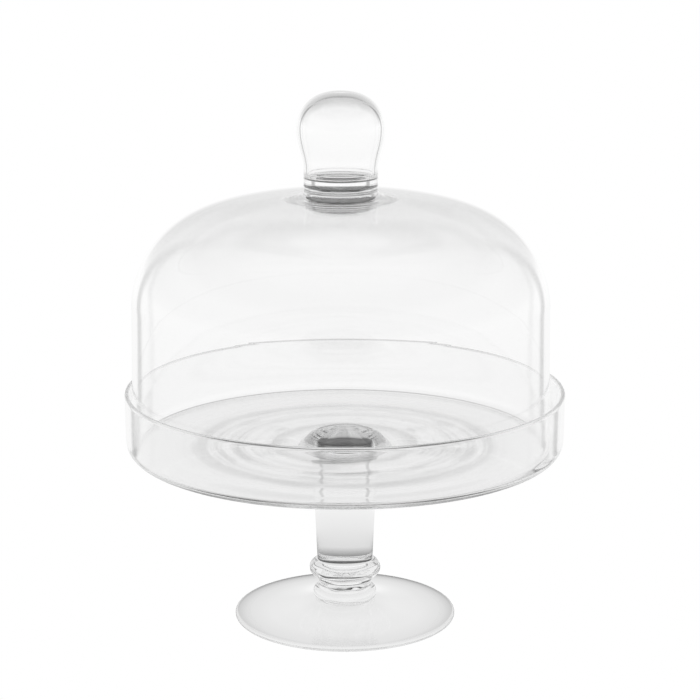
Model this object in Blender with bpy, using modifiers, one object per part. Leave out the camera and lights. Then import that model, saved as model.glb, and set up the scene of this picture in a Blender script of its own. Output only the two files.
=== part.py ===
"""Domed cake stand in clear glass.

A shallow round tray stands on a solid stem, two glass rings and a round foot.  A dome with a hollow
knob stands inside the tray's wall and lifts straight off.  Metres, +Z up, with the origin at the
middle of the foot's underside.
"""

import math

import bpy

# ---- Driving dimensions, in metres -------------------------------------------------------------

GAP = 0.0003                  # space left between one gather of glass and the next

FOOT_RADIUS = 0.0739
FOOT_EDGE = 0.0036            # thickness of the foot at its rounded edge
FOOT_HEIGHT = 0.0090          # thickness of the foot under the stem

NECK_RADIUS = 0.0184          # solid shank between the two rings
NECK_HEIGHT = 0.0078
LOWER_RING_SWELL = 0.0029      # how far the ring stands out beyond the shank
LOWER_RING_HEIGHT = 0.0107
UPPER_RING_SWELL = 0.0053
UPPER_RING_HEIGHT = 0.0111

STEM_HEIGHT = 0.0664          # solid stem, from the upper ring to the tray's pad
STEM_RADIUS = 0.0184          # at its foot
STEM_TAPER = 0.045            # radius gained for each metre of height

TRAY_RADIUS = 0.1451
TRAY_WALL = 0.0031
TRAY_FLOOR = 0.0033
TRAY_DEPTH = 0.0372           # from the floor's top to the lip
TRAY_DRAFT = 0.0004           # how much narrower the wall is at its foot
TRAY_CORNER_WIDTH = 0.0070
TRAY_CORNER_HEIGHT = 0.0090
TRAY_INNER_CORNER = 0.0025
PAD_MARGIN = 0.0057           # solid pad in the floor's middle, this much wider than the stem
PAD_RISE = 0.0110             # how far the pad bulges above the floor
PAD_DROP = 0.0120             # how far it reaches below the tray's underside
PAD_FILLET = 0.0060           # run-out of its edge into the floor

DOME_WALL = 0.0028
DOME_PLAY = 0.0036            # room round the dome inside the tray's wall
DOME_SHIFT = -0.0026          # the dome stands against one side of its play
DOME_DRAFT = 0.0014           # how much narrower the dome is at its shoulder than at its rim
DOME_WALL_HEIGHT = 0.0953     # straight side, from the rim to the shoulder
DOME_CROWN_HEIGHT = 0.0695
DOME_CROWN_FULLNESS = 3.68    # exponents of the crown's superellipse, across and upwards
DOME_CROWN_STEEPNESS = 1.82
DOME_CROWN_THICKNESS = 0.0040

KNOB_NECK_RADIUS = 0.0241
KNOB_NECK_HEIGHT = 0.0050
KNOB_RADIUS = 0.0287
KNOB_SWELL_HEIGHT = 0.0273    # from the neck up to the widest place
KNOB_CAP_HEIGHT = 0.0243      # from the widest place to the top
KNOB_CAP_FULLNESS = 0.83
KNOB_WALL = 0.0038
KNOB_NECK_WALL = 0.0031
BOSS_WIDTH = 0.0065           # flare from the dome's crown up to the knob's neck
BOSS_HEIGHT = 0.0060
PLUG_RADIUS = 0.0315          # thick middle of the crown, bulging down inside the dome
PLUG_DROP = 0.0065
COLLAR_HEIGHT = 0.0058

WIDE_STEPS = 56               # facets round the tray and dome
SMALL_STEPS = 32              # facets round the stem, foot and knob

# ---- Heights and radii that follow from them ----------------------------------------------------

LOWER_RING_RADIUS = NECK_RADIUS + LOWER_RING_SWELL
UPPER_RING_RADIUS = NECK_RADIUS + UPPER_RING_SWELL
LOWER_RING_BASE = FOOT_HEIGHT
NECK_BASE = LOWER_RING_BASE + LOWER_RING_HEIGHT
UPPER_RING_BASE = NECK_BASE + NECK_HEIGHT
STEM_BOTTOM = UPPER_RING_BASE + UPPER_RING_HEIGHT
STEM_TOP = STEM_BOTTOM + STEM_HEIGHT
STEM_TOP_RADIUS = STEM_RADIUS + STEM_TAPER * STEM_HEIGHT
PAD_RADIUS = STEM_TOP_RADIUS + PAD_MARGIN
TRAY_UNDERSIDE = STEM_TOP + PAD_DROP
TRAY_FLOOR_TOP = TRAY_UNDERSIDE + TRAY_FLOOR
TRAY_RIM = TRAY_FLOOR_TOP + TRAY_DEPTH
TRAY_FOOT_RADIUS = TRAY_RADIUS - TRAY_DRAFT
TRAY_INNER_RADIUS = TRAY_FOOT_RADIUS - TRAY_WALL

DOME_RIM_RADIUS = TRAY_INNER_RADIUS - DOME_PLAY
DOME_SHOULDER_RADIUS = DOME_RIM_RADIUS - DOME_DRAFT
DOME_RIM = TRAY_FLOOR_TOP + GAP
DOME_SHOULDER = DOME_RIM + DOME_WALL_HEIGHT
DOME_CROWN = DOME_SHOULDER + DOME_CROWN_HEIGHT
BOSS_TOP = DOME_CROWN + BOSS_HEIGHT
COLLAR_TOP = BOSS_TOP + COLLAR_HEIGHT


# ---- Outlines: lists of (radius, height) --------------------------------------------------------

def spread(first, last, count):
    """Evenly spread values from first to last."""
    return [first + (last - first) * step / (count - 1) for step in range(count)]


def arc(centre, width, height, start, end, count):
    """Points of an elliptical arc, its angles in degrees from the outward direction."""
    angles = [math.radians(angle) for angle in spread(start, end, count)]
    return [
        (centre[0] + width * math.cos(angle), centre[1] + height * math.sin(angle))
        for angle in angles
    ]


def crown(radius, height, base, count):
    """The dome's crown from its axis to its shoulder, a superellipse."""
    points = []
    for share in spread(0.0, 1.0, count):
        angle = math.pi / 2 * (1 - share ** (DOME_CROWN_FULLNESS / 2))
        across = max(math.cos(angle), 0.0) ** (2 / DOME_CROWN_FULLNESS)
        up = max(math.sin(angle), 0.0) ** (2 / DOME_CROWN_STEEPNESS)
        points.append((radius * across, base + height * up))
    points[0] = (0.0, base + height)
    return points


def crown_height(radius, reach, height, base):
    """Height of the crown's superellipse above one radius."""
    share = (reach / radius) ** DOME_CROWN_FULLNESS
    return base + height * (1 - share) ** (1 / DOME_CROWN_STEEPNESS)


def foot_outline():
    """Round foot: flat below, rising in a slow curve to the stem."""
    edge = FOOT_EDGE / 2
    join = LOWER_RING_RADIUS
    outline = [(0.0, FOOT_HEIGHT - GAP)]
    for share in spread(0.0, 1.0, 8):
        radius = join + (FOOT_RADIUS - edge - join) * share
        rise = (FOOT_HEIGHT - GAP - FOOT_EDGE) * (1 - share) ** 1.6
        outline.append((radius, FOOT_EDGE + rise))
    outline += arc((FOOT_RADIUS - edge, edge), edge, edge, 90, -90, 5)[1:]
    outline.append((0.0, 0.0))
    return outline


def ring_outline(base, height, end_radius, radius):
    """Solid bead of glass between two flat ends."""
    middle = base + (height - GAP) / 2
    half = (height - GAP) / 2
    bead = arc((end_radius, middle), radius - end_radius, half, 90, -90, 9)
    return [(0.0, middle + half)] + bead + [(0.0, middle - half)]


def neck_outline():
    """Short solid shank, a little waisted."""
    waist = 0.03
    top = UPPER_RING_BASE - GAP
    outline = [(0.0, top)]
    for share in spread(0.0, 1.0, 5):
        radius = NECK_RADIUS * (1 - waist * math.sin(math.pi * share))
        outline.append((radius, top + (NECK_BASE - top) * share))
    outline.append((0.0, NECK_BASE))
    return outline


def stem_outline():
    """Solid stem, a little wider at the top."""
    top = STEM_TOP - GAP
    return [(0.0, top), (STEM_TOP_RADIUS, top), (STEM_RADIUS, STEM_BOTTOM), (0.0, STEM_BOTTOM)]


def pad_top():
    """Upper side of the pad: a flattened ball that runs out into the floor."""
    points = [(0.0, TRAY_FLOOR_TOP + PAD_RISE)]
    points += arc((0.0, TRAY_FLOOR_TOP), PAD_RADIUS, PAD_RISE, 75, 15, 6)
    points.append((PAD_RADIUS + PAD_FILLET / 8, TRAY_FLOOR_TOP + PAD_RISE / 9))
    points.append((PAD_RADIUS + PAD_FILLET / 2.5, TRAY_FLOOR_TOP + PAD_RISE / 36))
    points.append((PAD_RADIUS + PAD_FILLET, TRAY_FLOOR_TOP))
    return points


def pad_underside():
    """Lower side of the pad, curving from the tray's underside down to the stem."""
    reach = PAD_RADIUS + PAD_FILLET - STEM_TOP_RADIUS
    points = []
    for share in spread(0.0, 1.0, 8):
        drop = PAD_DROP * share ** 1.8
        points.append((STEM_TOP_RADIUS + reach * (1 - share) ** 2.2, TRAY_UNDERSIDE - drop))
    return points


def tray_outline():
    """Tray with a solid pad in the middle of its floor, from the axis out, over the lip and back."""
    lip = TRAY_WALL / 2
    inner = TRAY_INNER_CORNER
    inner_centre = (TRAY_INNER_RADIUS - inner, TRAY_FLOOR_TOP + inner)
    outline = pad_top()
    outline += arc(inner_centre, inner, inner, -90, 0, 4)
    outline += arc((TRAY_RADIUS - lip, TRAY_RIM - lip), lip, lip, 180, 0, 7)
    corner = (TRAY_FOOT_RADIUS - TRAY_CORNER_WIDTH, TRAY_UNDERSIDE + TRAY_CORNER_HEIGHT)
    outline += arc(corner, TRAY_CORNER_WIDTH, TRAY_CORNER_HEIGHT, 0, -90, 6)
    outline += pad_underside()
    outline.append((0.0, STEM_TOP))
    return outline


def dome_outline():
    """Blown dome with a thickened boss on its crown, open below."""
    flare_end = KNOB_NECK_RADIUS + BOSS_WIDTH
    flare_foot = crown_height(DOME_SHOULDER_RADIUS, flare_end, DOME_CROWN_HEIGHT, DOME_SHOULDER)
    boss = BOSS_TOP - GAP
    outline = [(0.0, boss)]
    outline += arc((flare_end, boss), BOSS_WIDTH, boss - flare_foot, 180, 270, 5)
    outer = crown(DOME_SHOULDER_RADIUS, DOME_CROWN_HEIGHT, DOME_SHOULDER, 17)
    outline += [point for point in outer if point[0] > flare_end + GAP]
    rim = DOME_WALL / 2
    outline += arc((DOME_RIM_RADIUS - rim, DOME_RIM + rim), rim, rim, 0, -180, 7)
    inner_radius = DOME_SHOULDER_RADIUS - DOME_WALL
    inner_height = DOME_CROWN_HEIGHT - DOME_CROWN_THICKNESS
    inside = crown(inner_radius, inner_height, DOME_SHOULDER, 13)
    outline += [point for point in reversed(inside) if point[0] > PLUG_RADIUS + DOME_WALL]
    base = crown_height(inner_radius, PLUG_RADIUS, inner_height, DOME_SHOULDER)
    for share in spread(1.0, 0.0, 6):
        bulge = math.sin(math.pi / 2 * (1 - share)) ** 0.5
        outline.append((PLUG_RADIUS * share, base - PLUG_DROP * bulge))
    return outline


def collar_outline():
    """Solid pad of glass that closes the knob and joins it to the dome."""
    return [
        (0.0, COLLAR_TOP - GAP),
        (KNOB_NECK_RADIUS, COLLAR_TOP - GAP),
        (KNOB_NECK_RADIUS, BOSS_TOP),
        (0.0, BOSS_TOP),
    ]


def knob_side(share, neck, radius):
    """Radius of the knob between its neck, share 0, and its widest place, share 1."""
    return neck + (radius - neck) * (1 - math.cos(math.pi * share)) / 2


def bulb(neck, radius, cap, count):
    """One surface of the knob from its top down to its open end."""
    widest = COLLAR_TOP + KNOB_NECK_HEIGHT + KNOB_SWELL_HEIGHT
    points = []
    for angle in spread(math.pi / 2, 0.0, count):
        across = radius * max(math.cos(angle), 0.0) ** KNOB_CAP_FULLNESS
        points.append((across, widest + cap * math.sin(angle)))
    points[0] = (0.0, widest + cap)
    for share in spread(1.0, 0.0, count)[1:]:
        height = COLLAR_TOP + KNOB_NECK_HEIGHT + KNOB_SWELL_HEIGHT * share
        points.append((knob_side(share, neck, radius), height))
    points.append((neck, COLLAR_TOP))
    return points


def knob_outline():
    """Hollow knob, open at the neck, where the collar closes it."""
    outside = bulb(KNOB_NECK_RADIUS, KNOB_RADIUS, KNOB_CAP_HEIGHT, 8)
    neck = KNOB_NECK_RADIUS - KNOB_NECK_WALL
    inside = bulb(neck, KNOB_RADIUS - KNOB_WALL, KNOB_CAP_HEIGHT - KNOB_WALL, 7)
    return outside + list(reversed(inside))


# ---- Building -----------------------------------------------------------------------------------

def clear_scene():
    for item in list(bpy.data.objects):
        bpy.data.objects.remove(item, do_unlink=True)


def clear_glass(name, colour):
    material = bpy.data.materials.new(name)
    material.use_nodes = True
    shader = material.node_tree.nodes["Principled BSDF"]
    shader.inputs["Base Color"].default_value = (*colour, 1.0)
    shader.inputs["Roughness"].default_value = 0.02
    shader.inputs["Metallic"].default_value = 0.0
    shader.inputs["IOR"].default_value = 1.5
    shader.inputs["Transmission Weight"].default_value = 1.0
    return material


def turned(name, outline, steps, colour, parent, collection):
    """One piece turned round the parent's axis from its outline."""
    mesh = bpy.data.meshes.new(name)
    edges = [(index, index + 1) for index in range(len(outline) - 1)]
    lift = parent.location.z
    mesh.from_pydata([(radius, 0.0, height - lift) for radius, height in outline], edges, [])
    piece = bpy.data.objects.new(name, mesh)
    collection.objects.link(piece)
    piece.parent = parent
    screw = piece.modifiers.new("turn", "SCREW")
    screw.axis = "Z"
    screw.angle = 2 * math.pi
    screw.steps = steps
    screw.render_steps = steps
    screw.use_merge_vertices = True
    screw.merge_threshold = 0.00001
    screw.use_smooth_shade = True
    mesh.materials.append(clear_glass(name + "_glass", colour))
    return piece


def body(name, location, collection):
    """Empty that carries the pieces of one rigid body."""
    empty = bpy.data.objects.new(name, None)
    empty.location = location
    empty.empty_display_size = 0.02
    collection.objects.link(empty)
    return empty


def build_stand(collection):
    stand = body("stand", (0.0, 0.0, 0.0), collection)
    clear = (0.94, 0.95, 0.95)
    lower = ring_outline(LOWER_RING_BASE, LOWER_RING_HEIGHT, NECK_RADIUS, LOWER_RING_RADIUS)
    upper = ring_outline(UPPER_RING_BASE, UPPER_RING_HEIGHT, NECK_RADIUS, UPPER_RING_RADIUS)
    turned("foot", foot_outline(), SMALL_STEPS, clear, stand, collection)
    turned("lower_ring", lower, SMALL_STEPS, clear, stand, collection)
    turned("stem_neck", neck_outline(), SMALL_STEPS, clear, stand, collection)
    turned("upper_ring", upper, SMALL_STEPS, clear, stand, collection)
    turned("stem", stem_outline(), SMALL_STEPS, clear, stand, collection)
    turned("tray", tray_outline(), WIDE_STEPS, clear, stand, collection)


def build_cover(collection):
    cover = body("cover", (DOME_SHIFT, 0.0, TRAY_FLOOR_TOP), collection)
    clear = (0.96, 0.97, 0.97)
    turned("dome", dome_outline(), WIDE_STEPS, clear, cover, collection)
    turned("knob_collar", collar_outline(), SMALL_STEPS, clear, cover, collection)
    turned("knob", knob_outline(), SMALL_STEPS, clear, cover, collection)


def main():
    clear_scene()
    collection = bpy.data.collections.new("cake_stand_dome")
    bpy.context.scene.collection.children.link(collection)
    build_stand(collection)
    build_cover(collection)
    bpy.context.view_layer.update()


main()
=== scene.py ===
"""Looks of the domed cake stand: clear hand-blown glass in a white studio."""

import math

import bmesh
import bpy
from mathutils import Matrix, Vector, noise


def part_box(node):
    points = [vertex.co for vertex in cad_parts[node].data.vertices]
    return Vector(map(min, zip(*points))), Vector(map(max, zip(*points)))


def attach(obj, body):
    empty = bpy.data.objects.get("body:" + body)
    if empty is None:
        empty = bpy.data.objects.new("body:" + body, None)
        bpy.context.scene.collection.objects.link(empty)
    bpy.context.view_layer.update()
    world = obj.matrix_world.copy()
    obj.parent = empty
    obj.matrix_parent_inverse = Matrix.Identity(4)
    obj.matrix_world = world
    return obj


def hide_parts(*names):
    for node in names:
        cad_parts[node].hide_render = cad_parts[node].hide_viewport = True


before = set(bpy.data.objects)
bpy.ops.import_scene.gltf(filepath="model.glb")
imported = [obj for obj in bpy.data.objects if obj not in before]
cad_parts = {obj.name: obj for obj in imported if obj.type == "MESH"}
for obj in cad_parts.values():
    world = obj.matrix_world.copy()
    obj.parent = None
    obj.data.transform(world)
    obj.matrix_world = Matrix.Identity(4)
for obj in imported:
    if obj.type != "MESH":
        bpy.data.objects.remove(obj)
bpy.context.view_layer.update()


# ---- Places and sizes read from the frame, in metres ----------------------------------------------

def spot(node):
    """Middle, radius, foot and top of a round node."""
    low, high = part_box(node)
    return (low.x + high.x) / 2, (high.x - low.x) / 2, low.z, high.z


STAND_X, FOOT_RADIUS, FOOT_BASE, _ = spot("foot")
_, LOWER_RING_RADIUS, LOWER_RING_BASE, _ = spot("lower_ring")
_, NECK_RADIUS, NECK_BASE, _ = spot("stem_neck")
_, UPPER_RING_RADIUS, UPPER_RING_BASE, _ = spot("upper_ring")
_, STEM_TOP_RADIUS, STEM_BASE, _ = spot("stem")
_, TRAY_RADIUS, TRAY_THROAT, TRAY_RIM = spot("tray")
COVER_X, DOME_RIM_RADIUS, DOME_RIM, _ = spot("dome")
_, COLLAR_RADIUS, COLLAR_BASE, _ = spot("knob_collar")
_, KNOB_RADIUS, KNOB_BASE, KNOB_TOP = spot("knob")

# ---- Glassmaker's sizes, in metres ----------------------------------------------------------------

TURNS = 160                              # facets round every piece
GRAIN = 0.0014                           # longest step along an outline

FOOT_EDGE = 0.0036
FOOT_CURVE = 1.9                         # how fast the foot's rise dies away outwards
BEAD_FOOT = LOWER_RING_BASE + 0.0028     # the foot swells up to meet the lower ring here
FOOT_CONTACT = 0.064                     # the foot lies flat on the table inside this radius
NECK_WAIST = 0.03                        # share by which the shank narrows at its middle
STEM_FOOT_RADIUS = 0.0184
TRAY_FLOOR = 0.0033
TRAY_DEPTH = 0.0372
TRAY_WALL = 0.0031
TRAY_DRAFT = 0.0004                      # how much narrower the wall is at its foot
TRAY_CORNER_WIDTH = 0.0070
TRAY_CORNER_HEIGHT = 0.0090
TRAY_INNER_CORNER = 0.0025
BALL_RADIUS = 0.0271                     # solid ball of glass in the middle of the tray's floor
BALL_RISE = 0.0110
BALL_STATIONS = (0.0, 0.005, 0.010, 0.015, 0.019, 0.022, 0.0245)
# Below, how the ball runs out: radius and rise over the floor, then radius and drop under the tray.
BALL_RUNOUT = [(0.0263, 0.0027), (0.0276, 0.0012), (0.0295, 0.00035), (0.0330, 0.00005), (0.0380, 0.0)]
BALL_UNDER = [(0.0380, 0.0), (0.0340, 0.0001), (0.0290, 0.0006), (0.0255, 0.0020), (0.0228, 0.0045),
              (0.0216, 0.0080)]
DOME_WALL = 0.0028
DOME_DRAFT = 0.0014                      # how much narrower the dome is at its shoulder than at its rim
DOME_SHOULDER_LIFT = 0.0953
DOME_CROWN_HEIGHT = 0.0695
DOME_CROWN_THICKNESS = 0.0040
DOME_FULLNESS = 3.68                     # exponents of the crown's curve, across and upwards
DOME_STEEPNESS = 1.82
BOSS_WIDTH = 0.0065
BOSS_MARGIN = 0.0020                     # room for the flare's run-out into the crown
# Thick middle of the crown: radius and drop below the crown's inner top.
PLUG = [(0.036, 0.0004), (0.032, 0.0009), (0.029, 0.0024), (0.025, 0.0042), (0.018, 0.0056),
        (0.009, 0.0063), (0.0, 0.0065)]
PLUG_MARGIN = 0.0010
KNOB_NECK_HEIGHT = 0.0050
KNOB_CAP_HEIGHT = 0.0243
KNOB_CAP_FULLNESS = 0.83
KNOB_WALL = 0.0038
KNOB_NECK_WALL = 0.0031
KNOB_CORNER = 0.0030                     # rounding of the hollow at its floor
KNOB_LINES = [(0.0040, 0.0010, 0.0002), (0.0016, 0.0018, 0.0004)]    # rise over its foot, width, depth

FLOOR_SWELL = 0.00022                    # unevenness left by the tools, and its length across the floor
SWELL_LENGTH = 0.014
SWELL_REACH = (0.030, 0.128)
SWELL_FADE = 0.015
STEM_SWELL = 0.0004
STEM_SWELL_LENGTH = 0.0045
STEM_SWELL_CORE = 0.012                  # untouched inside this radius

TRAY_FLOOR_TOP = TRAY_RIM - TRAY_DEPTH
TRAY_UNDERSIDE = TRAY_FLOOR_TOP - TRAY_FLOOR
DOME_SHOULDER = DOME_RIM + DOME_SHOULDER_LIFT
KNOB_WELL = COLLAR_RADIUS - KNOB_NECK_WALL - KNOB_CORNER


# ---- Outlines: lists of (radius, height) ----------------------------------------------------------

def sweep(first, last, count):
    """Evenly spread values from first to last."""
    return [first + (last - first) * step / (count - 1) for step in range(count)]


def arc(centre, width, height, start, end, count=12):
    """Elliptical arc, angles in degrees from the outward direction."""
    angles = [math.radians(angle) for angle in sweep(start, end, count)]
    return [(centre[0] + width * math.cos(a), centre[1] + height * math.sin(a)) for a in angles]


def crown(radius, height, base, count=60):
    """Crown of the dome from its axis to its shoulder."""
    points = []
    for share in sweep(0.0, 1.0, count):
        angle = math.pi / 2 * (1 - share ** (DOME_FULLNESS / 2))
        across = max(math.cos(angle), 0.0) ** (2 / DOME_FULLNESS)
        up = max(math.sin(angle), 0.0) ** (2 / DOME_STEEPNESS)
        points.append((radius * across, base + height * up))
    points[0] = (0.0, base + height)
    return points


def foot():
    """Round foot, flat below, swelling up to the lower ring."""
    edge = FOOT_EDGE / 2
    outline = [(0.0, BEAD_FOOT), (NECK_RADIUS, BEAD_FOOT)]
    for share in sweep(0.0, 1.0, 24):
        radius = LOWER_RING_RADIUS + (FOOT_RADIUS - edge - LOWER_RING_RADIUS) * share
        outline.append((radius, FOOT_EDGE + (BEAD_FOOT - FOOT_EDGE) * (1 - share) ** FOOT_CURVE))
    outline += arc((FOOT_RADIUS - edge, FOOT_BASE + edge), edge, edge, 90, -90)[1:]
    return outline + [(0.0, FOOT_BASE)]


def ring(base, top, radius):
    """Bead of glass round the shank."""
    middle, half = (base + top) / 2, (top - base) / 2
    return [(0.0, top)] + arc((NECK_RADIUS, middle), radius - NECK_RADIUS, half, 90, -90, 24) + [(0.0, base)]


def neck():
    """Short solid shank between the rings."""
    outline = [(0.0, UPPER_RING_BASE)]
    for share in sweep(0.0, 1.0, 12):
        radius = NECK_RADIUS * (1 - NECK_WAIST * math.sin(math.pi * share))
        outline.append((radius, UPPER_RING_BASE + (NECK_BASE - UPPER_RING_BASE) * share))
    return outline + [(0.0, NECK_BASE)]


def stem():
    """Solid stem, a little wider at the top."""
    outline = [(0.0, TRAY_THROAT), (STEM_TOP_RADIUS, TRAY_THROAT)]
    return outline + [(STEM_FOOT_RADIUS, STEM_BASE), (0.0, STEM_BASE)]


def flow(points, steps=8):
    """Smooth line through the given points."""
    line = []
    for index in range(len(points) - 1):
        before = points[max(index - 1, 0)]
        start, end = points[index], points[index + 1]
        after = points[min(index + 2, len(points) - 1)]
        for step in range(steps):
            t = step / steps
            line.append(tuple(
                0.5 * (2 * start[k] + (end[k] - before[k]) * t
                       + (2 * before[k] - 5 * start[k] + 4 * end[k] - after[k]) * t * t
                       + (3 * start[k] - before[k] - 3 * end[k] + after[k]) * t ** 3)
                for k in range(2)))
    return line + [points[-1]]


def tray():
    """Tray from the ball in its middle out over the lip, and back under to the stem."""
    lip = TRAY_WALL / 2
    foot_radius = TRAY_RADIUS - TRAY_DRAFT
    inner = foot_radius - TRAY_WALL
    inside = TRAY_INNER_CORNER
    ball = [(radius, BALL_RISE * (1 - (radius / BALL_RADIUS) ** 2) ** 0.5) for radius in BALL_STATIONS]
    outline = flow([(radius, TRAY_FLOOR_TOP + rise) for radius, rise in ball + BALL_RUNOUT])
    outline += arc((inner - inside, TRAY_FLOOR_TOP + inside), inside, inside, -90, 0, 8)
    outline += arc((TRAY_RADIUS - lip, TRAY_RIM - lip), lip, lip, 180, 0)
    corner = (foot_radius - TRAY_CORNER_WIDTH, TRAY_UNDERSIDE + TRAY_CORNER_HEIGHT)
    outline += arc(corner, TRAY_CORNER_WIDTH, TRAY_CORNER_HEIGHT, 0, -90, 16)
    under = [(radius, TRAY_UNDERSIDE - drop) for radius, drop in BALL_UNDER]
    return outline + flow(under + [(STEM_TOP_RADIUS, TRAY_THROAT)]) + [(0.0, TRAY_THROAT)]


def dome():
    """Blown dome with its boss above and its plug below."""
    flare = COLLAR_RADIUS + BOSS_WIDTH
    shoulder = DOME_RIM_RADIUS - DOME_DRAFT
    outer = crown(shoulder, DOME_CROWN_HEIGHT, DOME_SHOULDER)
    foot_of_flare = min(point[1] for point in outer if point[0] < flare + BOSS_MARGIN)
    outline = [(0.0, COLLAR_BASE)]
    outline += arc((flare, COLLAR_BASE), BOSS_WIDTH, COLLAR_BASE - foot_of_flare, 180, 270, 16)
    outline += [point for point in outer if point[0] > flare + BOSS_MARGIN]
    rim = DOME_WALL / 2
    outline += arc((DOME_RIM_RADIUS - rim, DOME_RIM + rim), rim, rim, 0, -180)
    inner_height = DOME_CROWN_HEIGHT - DOME_CROWN_THICKNESS
    inside = crown(shoulder - DOME_WALL, inner_height, DOME_SHOULDER)[::-1]
    plug = [(radius, DOME_SHOULDER + inner_height - drop) for radius, drop in PLUG]
    return outline + [point for point in inside if point[0] > PLUG[0][0] + PLUG_MARGIN] + flow(plug)


def collar():
    """Solid pad under the knob."""
    return [(0.0, KNOB_BASE), (KNOB_WELL, KNOB_BASE), (COLLAR_RADIUS, KNOB_BASE),
            (COLLAR_RADIUS, COLLAR_BASE), (0.0, COLLAR_BASE)]


def bulb(neck_radius, radius, cap, count=40):
    """One surface of the knob from its top down to its neck."""
    widest = KNOB_TOP - KNOB_CAP_HEIGHT
    swell = widest - KNOB_BASE - KNOB_NECK_HEIGHT
    points = [(0.0, widest + cap)]
    for angle in sweep(math.pi / 2, 0.0, count)[1:]:
        points.append((radius * math.cos(angle) ** KNOB_CAP_FULLNESS, widest + cap * math.sin(angle)))
    for share in sweep(1.0, 0.0, count)[1:]:
        side = neck_radius + (radius - neck_radius) * (1 - math.cos(math.pi * share)) / 2
        points.append((side, KNOB_BASE + KNOB_NECK_HEIGHT + swell * share))
    return points


def groove(radius, middle, width, depth):
    """Soft line pressed into an upright side by the jacks, from above to below."""
    return [(radius - depth * (1 + math.cos(math.pi * share)) / 2, middle - width / 2 * share)
            for share in sweep(-1.0, 1.0, 13)]


def knob():
    """Hollow knob with two lines pressed into its neck."""
    outside = bulb(COLLAR_RADIUS, KNOB_RADIUS, KNOB_CAP_HEIGHT)
    inside = bulb(COLLAR_RADIUS - KNOB_NECK_WALL, KNOB_RADIUS - KNOB_WALL, KNOB_CAP_HEIGHT - KNOB_WALL)
    floor = arc((KNOB_WELL, KNOB_BASE + KNOB_CORNER), KNOB_CORNER, KNOB_CORNER, -90, 0, 10)
    outside = [point for point in outside if point[1] > KNOB_BASE + KNOB_NECK_HEIGHT - 0.0001]
    for rise, width, depth in KNOB_LINES:
        outside += groove(COLLAR_RADIUS, KNOB_BASE + rise, width, depth)
    return outside + [(COLLAR_RADIUS, KNOB_BASE)] + floor + inside[::-1]


# ---- Materials ------------------------------------------------------------------------------------

STAND_LIGHT = 0.99                       # what clear glass lets through
COVER_LIGHT = 0.998
BALL_FOOT = TRAY_THROAT + 0.003          # the ball's painted shade starts here
BALL_SHADE_FADE = 0.004
BALL_PAINTED_SHADE = (0.33, 0.62)                # darkest and lightest tones of the painted shade
CORD_BAND = (0.040, 0.100)               # cordy glass in the floor: where, how soft, how fine, how dark
CORD_FADE = 0.014
CORDS_PER_METRE = 160.0
CORD_DRIFT = 3.0
CORD_TONE = 0.70
STREAK_LEVELS = (0.35, 0.65)             # noise from dark to light
# Painted shade in the dome's plug under the knob: dark streaks, partly opaque.
PLUG_SHADE_RADIUS = 0.017
PLUG_SHADE_HEIGHT = (DOME_SHOULDER + 0.0500, DOME_SHOULDER + 0.0632)
PLUG_PAINTED_SHADE = (0.15, 0.35)
PLUG_SHADE_OPACITY = 0.8
SHADE_FILM_RADIUS = 0.0165                     # painted shade: a dark film in the joint under the knob
SHADE_FILM_DARK = 0.7
BEAD_SHADE_FILM_WIDTH = 0.0012                 # and a painted shade ring in the joint under the lower ring
BEAD_SHADE_FILM_DARK = 0.6


def joined(tree, kind, operation, *values):
    """A math node with each input linked to a socket or set to a number."""
    node = tree.nodes.new(kind)
    node.operation = operation
    for place, value in zip(node.inputs, values):
        if isinstance(value, bpy.types.NodeSocket):
            tree.links.new(value, place)
        else:
            place.default_value = value
    return node.outputs[0]


def ranged(tree, value, low, high, start, end):
    """Smooth step of a value between two levels."""
    node = tree.nodes.new("ShaderNodeMapRange")
    node.interpolation_type = "SMOOTHSTEP"
    tree.links.new(value, node.inputs["Value"])
    for name, number in zip(("From Min", "From Max", "To Min", "To Max"), (low, high, start, end)):
        node.inputs[name].default_value = number
    return node.outputs[0]


def round_place(tree, centre):
    """Distance from the piece's axis, height, and a point that turns with the angle only."""
    place = tree.nodes.new("ShaderNodeTexCoord")
    split = tree.nodes.new("ShaderNodeSeparateXYZ")
    tree.links.new(place.outputs["Object"], split.inputs[0])
    across = joined(tree, "ShaderNodeMath", "SUBTRACT", split.outputs["X"], centre)
    square = joined(tree, "ShaderNodeMath", "MULTIPLY", across, across)
    square = joined(tree, "ShaderNodeMath", "MULTIPLY_ADD", split.outputs["Y"], split.outputs["Y"], square)
    radius = joined(tree, "ShaderNodeMath", "SQRT", square)
    turn = tree.nodes.new("ShaderNodeCombineXYZ")
    tree.links.new(joined(tree, "ShaderNodeMath", "DIVIDE", across, radius), turn.inputs["X"])
    tree.links.new(joined(tree, "ShaderNodeMath", "DIVIDE", split.outputs["Y"], radius), turn.inputs["Y"])
    return radius, split.outputs["Z"], turn.outputs[0]


def noisy(tree, vector, scale, detail):
    """Soft noise, about a half."""
    node = tree.nodes.new("ShaderNodeTexNoise")
    node.inputs["Scale"].default_value = scale
    node.inputs["Detail"].default_value = detail
    tree.links.new(vector, node.inputs["Vector"])
    return node.outputs[0]


def band(tree, value, low, high, soft):
    """One between two levels, nought outside them."""
    up = ranged(tree, value, low - soft, low + soft, 0.0, 1.0)
    down = ranged(tree, value, high - soft, high + soft, 1.0, 0.0)
    return joined(tree, "ShaderNodeMath", "MULTIPLY", up, down)


def product(tree, *values):
    """Values multiplied together."""
    total = values[0]
    for value in values[1:]:
        total = joined(tree, "ShaderNodeMath", "MULTIPLY", total, value)
    return total


def dim(tree, light, mask, tone):
    """Light lowered to a tone where the mask is one."""
    loss = joined(tree, "ShaderNodeMath", "SUBTRACT", 1.0, tone)
    share = joined(tree, "ShaderNodeMath", "MULTIPLY", mask, loss)
    keep = joined(tree, "ShaderNodeMath", "SUBTRACT", 1.0, share)
    return joined(tree, "ShaderNodeMath", "MULTIPLY", light, keep)


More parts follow.
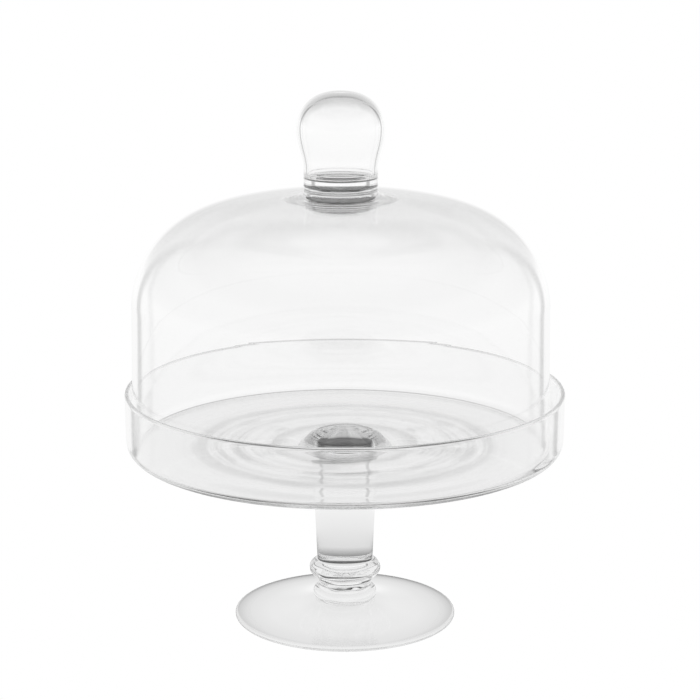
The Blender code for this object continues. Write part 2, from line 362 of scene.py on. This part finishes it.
def tinted(tree, light):
    """Grey of the glass, its own tint together with any painted shade, set on its shader."""
    grey = tree.nodes.new("ShaderNodeCombineColor")
    for channel in grey.inputs:
        tree.links.new(light, channel)
    tree.links.new(grey.outputs[0], tree.nodes["Principled BSDF"].inputs["Base Color"])


def clear_glass(name):
    """Smooth glass that light passes through."""
    material = bpy.data.materials.new(name)
    material.use_nodes = True
    shader = material.node_tree.nodes["Principled BSDF"]
    shader.inputs["Roughness"].default_value = 0.0
    shader.inputs["IOR"].default_value = 1.5
    shader.inputs["Transmission Weight"].default_value = 1.0
    return material


def stand_glass():
    """Clear glass, with painted shade darkening the pressed ball's core in streaks, and faintly cordy in the
    tray's floor.
    """
    material = clear_glass("stand_clear_glass")
    tree = material.node_tree
    radius, height, turn = round_place(tree, STAND_X)
    # Painted shade: the ball's core darkened in streaks.
    above = ranged(tree, height, BALL_FOOT, BALL_FOOT + BALL_SHADE_FADE, 0.0, 1.0)
    ball = product(tree, above, ranged(tree, radius, BALL_RADIUS - 0.0009, BALL_RADIUS + 0.0003, 1.0, 0.0))
    tone = ranged(tree, noisy(tree, turn, 2.6, 3.0), *STREAK_LEVELS, *BALL_PAINTED_SHADE)
    light = dim(tree, STAND_LIGHT, ball, tone)
    rings = tree.nodes.new("ShaderNodeCombineXYZ")
    tree.links.new(joined(tree, "ShaderNodeMath", "MULTIPLY", radius, CORDS_PER_METRE), rings.inputs["X"])
    drift = noisy(tree, turn, 1.3, 2.0)
    tree.links.new(joined(tree, "ShaderNodeMath", "MULTIPLY", drift, CORD_DRIFT), rings.inputs["Y"])
    cords = ranged(tree, noisy(tree, rings.outputs[0], 1.0, 4.0), 0.38, 0.66, CORD_TONE, 1.0)
    level = band(tree, height, TRAY_UNDERSIDE - 0.0005, TRAY_FLOOR_TOP + 0.0004, 0.0003)
    floor = product(tree, band(tree, radius, *CORD_BAND, CORD_FADE), level)
    tinted(tree, dim(tree, light, floor, cords))
    return material


def cover_glass():
    """Clear glass, with painted shade where the plug hangs under the knob: a dark streaked core, partly
    opaque.
    """
    material = clear_glass("cover_clear_glass")
    tree = material.node_tree
    radius, height, turn = round_place(tree, COVER_X)
    # Painted shade: the plug darkened in streaks and made partly opaque.
    streak = ranged(tree, noisy(tree, turn, 2.2, 3.0), *STREAK_LEVELS, *PLUG_PAINTED_SHADE)
    inside = ranged(tree, radius, PLUG_SHADE_RADIUS - 0.0006, PLUG_SHADE_RADIUS + 0.0006, 1.0, 0.0)
    plug = product(tree, inside, band(tree, height, *PLUG_SHADE_HEIGHT, 0.0005))
    tinted(tree, dim(tree, COVER_LIGHT, plug, streak))
    shader = tree.nodes["Principled BSDF"]
    shade_transmission = joined(tree, "ShaderNodeMath", "MULTIPLY_ADD", plug, -PLUG_SHADE_OPACITY, 1.0)
    tree.links.new(shade_transmission, shader.inputs["Transmission Weight"])
    return material


def shade_film_joint(name, centre, levels):
    """Fused faces, clear but for a painted shade film, dark and streaked, between two radii at each height.
    """
    material = bpy.data.materials.new(name)
    material.use_nodes = True
    tree = material.node_tree
    shader = tree.nodes["Principled BSDF"]
    radius, height, turn = round_place(tree, centre)
    streak = ranged(tree, noisy(tree, turn, 2.2, 3.0), *STREAK_LEVELS, 0.7, 1.0)
    total = 0.0
    for level, inner, outer, strength in levels:
        near = band(tree, height, level - 0.001, level + 0.001, 0.0002)
        shade_film = product(tree, near, band(tree, radius, inner, outer, 0.0004), streak, strength)
        total = joined(tree, "ShaderNodeMath", "ADD", total, shade_film)
    tree.links.new(total, shader.inputs["Alpha"])
    # Dark colour of the painted shade film.
    shader.inputs["Base Color"].default_value = (0.06, 0.06, 0.06, 1.0)
    shader.inputs["Specular IOR Level"].default_value = 0.0
    return material


# ---- Blowing and turning --------------------------------------------------------------------------

def fine(outline):
    """The outline with its long stretches divided."""
    points = []
    for start, end in zip(outline, outline[1:]):
        parts = max(1, round(math.dist(start, end) / GRAIN))
        for part in range(parts):
            share = part / parts
            points.append((start[0] + (end[0] - start[0]) * share, start[1] + (end[1] - start[1]) * share))
    return points + [outline[-1]]


def blow(name, outline, glass, body, slot, joint, joints, centre, touch=None):
    """One gather of glass, turned from its outline; joints are (height, inner and outer radius)."""
    made = bmesh.new()
    verts = [made.verts.new((radius, 0.0, height)) for radius, height in fine(outline)]
    edges = [made.edges.new(pair) for pair in zip(verts, verts[1:])]
    bmesh.ops.spin(made, geom=verts + edges, cent=(0, 0, 0), axis=(0, 0, 1), angle=2 * math.pi,
                   steps=TURNS, use_merge=True)
    bmesh.ops.remove_doubles(made, verts=made.verts, dist=1e-6)
    bmesh.ops.recalc_face_normals(made, faces=made.faces)
    for face in made.faces:
        face.smooth = True
        for height, inner, outer in joints:
            level = all(abs(vert.co.z - height) < 1e-7 for vert in face.verts)
            if level and inner < face.calc_center_median().xy.length < outer:
                face.material_index = 1
    if touch:
        for vert in made.verts:
            touch(vert.co)
    bmesh.ops.translate(made, verts=made.verts, vec=(centre, 0.0, 0.0))
    mesh = bpy.data.meshes.new(name)
    made.to_mesh(mesh)
    made.free()
    mesh.materials.append(glass)
    mesh.materials.append(joint)
    mesh.set_sharp_from_angle(angle=math.radians(40))
    piece = bpy.data.objects.new(name, mesh)
    bpy.context.scene.collection.objects.link(piece)
    piece.visible_shadow = False
    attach(piece, body)
    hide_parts(name.removesuffix("_glass"))
    return piece


def drifting_floor(place):
    """Slow swells left in the tray's floor by the tool."""
    near, far = SWELL_REACH
    reach = place.xy.length
    if not (near < reach < far and place.z < TRAY_FLOOR_TOP + 0.002):
        return
    fade = min((reach - near) / SWELL_FADE, (far - reach) / SWELL_FADE, 1.0)
    upper = place.z > TRAY_FLOOR_TOP - TRAY_FLOOR / 2
    turn = Vector((place.x / reach, place.y / reach, 0.0)) * 0.9
    swell = noise.noise(turn + Vector((0.0, 0.0, reach / SWELL_LENGTH + (7.0 if upper else 0.0))))
    place.z += FLOOR_SWELL * fade * swell


def tooled_stem(place):
    """Uneven marks of the jacks round the stem and rings."""
    reach = place.xy.length
    if reach < STEM_SWELL_CORE:
        return
    swell = noise.noise(Vector((place.x / reach, place.y / reach, place.z / STEM_SWELL_LENGTH)) * 1.6)
    place.xy *= 1 + STEM_SWELL * swell / reach


def blow_stand():
    """Foot, rings, shank, stem and tray, fused one over the other."""
    glass = stand_glass()
    # Painted shade: a dark film in the joint under the lower ring.
    ring_shade_film = (BEAD_FOOT, NECK_RADIUS - BEAD_SHADE_FILM_WIDTH, NECK_RADIUS, BEAD_SHADE_FILM_DARK)
    shade_film = shade_film_joint("shade_film_stand_joint", STAND_X, [ring_shade_film])
    make = dict(glass=glass, body="stand", slot="stand_glass", centre=STAND_X, joint=shade_film)
    blow("foot_glass", foot(), joints=[(BEAD_FOOT, 0, NECK_RADIUS), (FOOT_BASE, 0, FOOT_CONTACT)], **make)
    blow("lower_ring_glass", ring(BEAD_FOOT, NECK_BASE, LOWER_RING_RADIUS), touch=tooled_stem,
         joints=[(BEAD_FOOT, 0, 1), (NECK_BASE, 0, 1)], **make)
    blow("stem_neck_glass", neck(), touch=tooled_stem,
         joints=[(NECK_BASE, 0, 1), (UPPER_RING_BASE, 0, 1)], **make)
    blow("upper_ring_glass", ring(UPPER_RING_BASE, STEM_BASE, UPPER_RING_RADIUS), touch=tooled_stem,
         joints=[(UPPER_RING_BASE, 0, 1), (STEM_BASE, 0, 1)], **make)
    blow("stem_glass", stem(), joints=[(STEM_BASE, 0, 1), (TRAY_THROAT, 0, 1)], **make)
    blow("tray_glass", tray(), touch=drifting_floor, joints=[(TRAY_THROAT, 0, 1)], **make)


def blow_cover():
    """Dome, pad and knob, fused one over the other."""
    glass = cover_glass()
    # Painted shade: a dark film in the joint under the knob.
    shade_film = shade_film_joint("shade_film_cover_joint", COVER_X, [(COLLAR_BASE, -0.001, SHADE_FILM_RADIUS, SHADE_FILM_DARK)])
    make = dict(glass=glass, body="cover", slot="cover_glass", centre=COVER_X, joint=shade_film)
    blow("dome_glass", dome(), joints=[(COLLAR_BASE, 0, 1)], **make)
    blow("knob_collar_glass", collar(),
         joints=[(COLLAR_BASE, 0, 1), (KNOB_BASE, KNOB_WELL, 1)], **make)
    blow("knob_glass", knob(), joints=[(KNOB_BASE, 0, 1)], **make)


# ---- Studio ---------------------------------------------------------------------------------------

# Light from the walls by elevation in degrees, and from the table by distance in metres.
SKY = [(-90, 0.2), (-45, 0.3), (-33, 0.8), (-22, 0.93), (-14, 0.95), (-6, 1.0), (0, 1.0), (5, 0.82),
       (13, 0.68), (26, 0.66), (36, 0.4), (50, 0.35), (62, 0.5), (90, 0.6)]
SHADE = [(0.0, 0.8), (0.02, 0.85), (0.03, 0.88), (0.05, 0.86), (0.066, 0.78), (0.072, 0.6), (0.0745, 0.1),
         (0.1, 0.2), (0.12, 0.1), (0.135, 0.0), (0.147, 0.1), (0.157, 0.35), (0.18, 0.75), (0.30, 0.9)]
SHADE_RADIUS = 0.30
FLOOR_RADIUS = 40.0
GAP_AT = 36.0                            # degrees either side of the back wall's middle
GAP_CORE = 1.5
GAP_EDGE = 6.0
GAP_DARK = 0.5


def studio_floor():
    """White floor that only the eye sees."""
    made = bmesh.new()
    bmesh.ops.create_circle(made, cap_ends=True, radius=FLOOR_RADIUS, segments=96)
    bmesh.ops.translate(made, verts=made.verts, vec=(0.0, 0.0, FOOT_BASE - 0.0005))
    mesh = bpy.data.meshes.new("studio_floor")
    made.to_mesh(mesh)
    made.free()
    paint = bpy.data.materials.new("white_floor")
    paint.use_nodes = True
    shader = paint.node_tree.nodes["Principled BSDF"]
    shader.inputs["Base Color"].default_value = (0.0, 0.0, 0.0, 1.0)
    shader.inputs["Specular IOR Level"].default_value = 0.0
    shader.inputs["Emission Color"].default_value = (1.0, 1.0, 1.0, 1.0)
    shader.inputs["Emission Strength"].default_value = 1.0
    mesh.materials.append(paint)
    floor = bpy.data.objects.new("studio_floor", mesh)
    bpy.context.scene.collection.objects.link(floor)
    floor.visible_transmission = False
    floor.visible_glossy = False
    floor.visible_diffuse = False


def contact_shade():
    """What the glass sees of the table: its own soft shade under foot and tray."""
    made = bmesh.new()
    bmesh.ops.create_circle(made, cap_ends=True, radius=SHADE_RADIUS, segments=96)
    bmesh.ops.translate(made, verts=made.verts, vec=(0.0, 0.0, FOOT_BASE - 0.0004))
    mesh = bpy.data.meshes.new("contact_shade")
    made.to_mesh(mesh)
    made.free()
    paint = bpy.data.materials.new("contact_shade")
    paint.use_nodes = True
    tree = paint.node_tree
    shader = tree.nodes["Principled BSDF"]
    shader.inputs["Base Color"].default_value = (0.0, 0.0, 0.0, 1.0)
    shader.inputs["Specular IOR Level"].default_value = 0.0
    place = tree.nodes.new("ShaderNodeTexCoord")
    reach = tree.nodes.new("ShaderNodeVectorMath")
    reach.operation = "LENGTH"
    tree.links.new(place.outputs["Object"], reach.inputs[0])
    ramp = tree.nodes.new("ShaderNodeValToRGB")
    while len(ramp.color_ramp.elements) < len(SHADE):
        ramp.color_ramp.elements.new(0.5)
    for element, (radius, light) in zip(ramp.color_ramp.elements, SHADE):
        element.position = radius / SHADE_RADIUS
        element.color = (light, light, light, 1.0)
    share = joined(tree, "ShaderNodeMath", "DIVIDE", reach.outputs["Value"], SHADE_RADIUS)
    tree.links.new(share, ramp.inputs[0])
    tree.links.new(ramp.outputs["Color"], shader.inputs["Emission Color"])
    shader.inputs["Emission Strength"].default_value = 1.0
    mesh.materials.append(paint)
    disc = bpy.data.objects.new("contact_shade", mesh)
    bpy.context.scene.collection.objects.link(disc)
    disc.visible_camera = False
    disc.visible_diffuse = False
    disc.visible_shadow = False


def sky_ramp(tree, height):
    """Brightness of the walls by elevation."""
    ramp = tree.nodes.new("ShaderNodeValToRGB")
    while len(ramp.color_ramp.elements) < len(SKY):
        ramp.color_ramp.elements.new(0.5)
    for element, (angle, light) in zip(ramp.color_ramp.elements, SKY):
        element.position = (math.sin(math.radians(angle)) + 1) / 2
        element.color = (light, light, light, 1.0)
    lifted = joined(tree, "ShaderNodeMath", "MULTIPLY_ADD", height, 0.5, 0.5)
    tree.links.new(lifted, ramp.inputs[0])
    return ramp.outputs["Color"]


def studio_world():
    """White all round for the eye; the glass also sees dark gaps between the light boxes."""
    world = bpy.data.worlds.new("white_studio")
    bpy.context.scene.world = world
    world.use_nodes = True
    tree = world.node_tree
    background = tree.nodes["Background"]
    background.inputs["Color"].default_value = (1.0, 1.0, 1.0, 1.0)
    place = tree.nodes.new("ShaderNodeTexCoord")
    split = tree.nodes.new("ShaderNodeSeparateXYZ")
    tree.links.new(place.outputs["Generated"], split.inputs[0])
    sky = sky_ramp(tree, split.outputs["Z"])
    side = joined(tree, "ShaderNodeMath", "ABSOLUTE", split.outputs["X"])
    turn = joined(tree, "ShaderNodeMath", "ARCTAN2", side, split.outputs["Y"])
    off = joined(tree, "ShaderNodeMath", "SUBTRACT", turn, math.radians(GAP_AT))
    off = joined(tree, "ShaderNodeMath", "ABSOLUTE", off)
    dark = ranged(tree, off, math.radians(GAP_CORE), math.radians(GAP_EDGE), GAP_DARK, 0.0)
    gaps = joined(tree, "ShaderNodeMath", "SUBTRACT", 1.0, dark)
    lit = joined(tree, "ShaderNodeMath", "MULTIPLY", sky, gaps)
    path = tree.nodes.new("ShaderNodeLightPath")
    mix = tree.nodes.new("ShaderNodeMix")
    mix.data_type = "FLOAT"
    mix.inputs["B"].default_value = 1.0
    tree.links.new(path.outputs["Is Camera Ray"], mix.inputs["Factor"])
    tree.links.new(lit, mix.inputs["A"])
    tree.links.new(mix.outputs["Result"], background.inputs["Strength"])


def camera():
    """Seen from a little above the lip."""
    lens = bpy.data.cameras.new("camera")
    lens.sensor_width = 36.0
    lens.lens = 114.5
    lens.clip_end = 100.0
    eye = bpy.data.objects.new("camera", lens)
    eye.location = (0.0034, -1.425, 0.5265)
    eye.rotation_euler = (math.radians(90 - 13.55), 0.0, 0.0)
    bpy.context.scene.collection.objects.link(eye)
    bpy.context.scene.camera = eye


def light_paths():
    """Enough bounces for light held in thick glass."""
    cycles = bpy.context.scene.cycles
    cycles.max_bounces = 128
    cycles.transmission_bounces = 128
    cycles.glossy_bounces = 128
    cycles.transparent_max_bounces = 64
    bpy.context.scene.view_settings.view_transform = "Standard"


blow_stand()
blow_cover()
studio_floor()
contact_shade()
studio_world()
camera()
light_paths()
